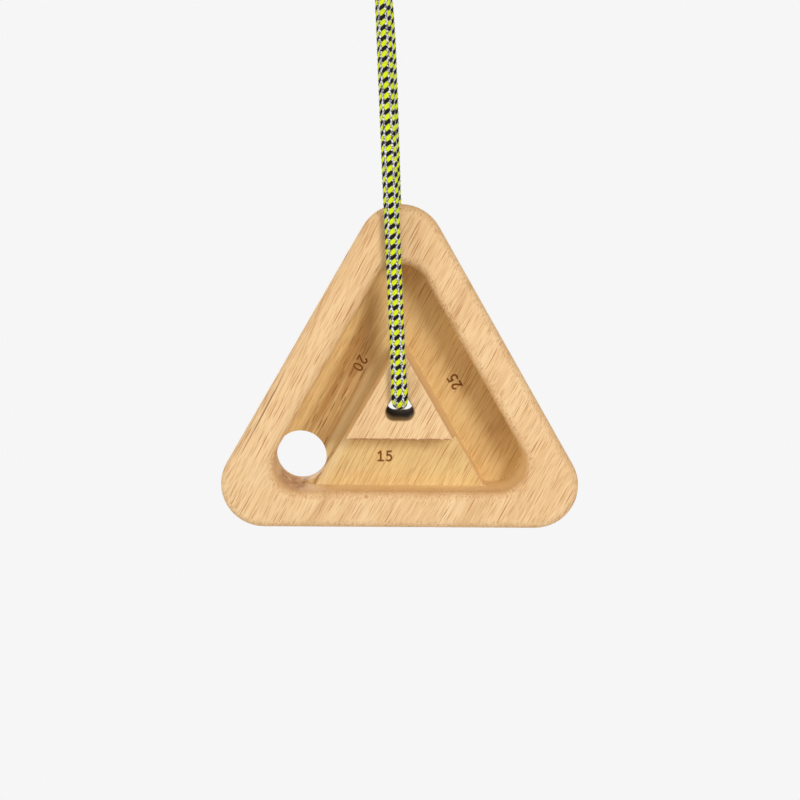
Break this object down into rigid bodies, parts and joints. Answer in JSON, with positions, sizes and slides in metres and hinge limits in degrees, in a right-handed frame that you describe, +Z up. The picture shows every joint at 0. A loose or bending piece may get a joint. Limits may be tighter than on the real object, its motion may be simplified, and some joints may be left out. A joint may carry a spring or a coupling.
{
  "type": "triangle pull-up grip",
  "caption": "Triangular wooden finger-grip board with three stepped finger trenches, a round finger hole and a cord loop through its centre to hang it by.",
  "frame": {"origin": "inside top of the cord's hanging eye, where a hook carries it", "axes": "+Z up, +X to the right seen from the front, +Y from the front face into the board"},
  "size_m": [0.141, 0.0426, 0.2981],
  "materials": {
    "rubberwood": "sanded, light oil",
    "cord_sheath": "braided polyester sheath"
  },
  "bodies": {
    "cord": {"cord_loop": "cord_sheath", "knot_wraps": "cord_sheath", "hanging_eye": "cord_sheath"},
    "board": {"board": "rubberwood"}
  },
  "joints": [
    {"name": "board_tilt", "type": "hinge", "parent": "cord", "child": "board", "pos_m": [0.00835, 0, -0.24163], "axis": [0, 1, 0], "range_deg": [-60, 60]}
  ]
}
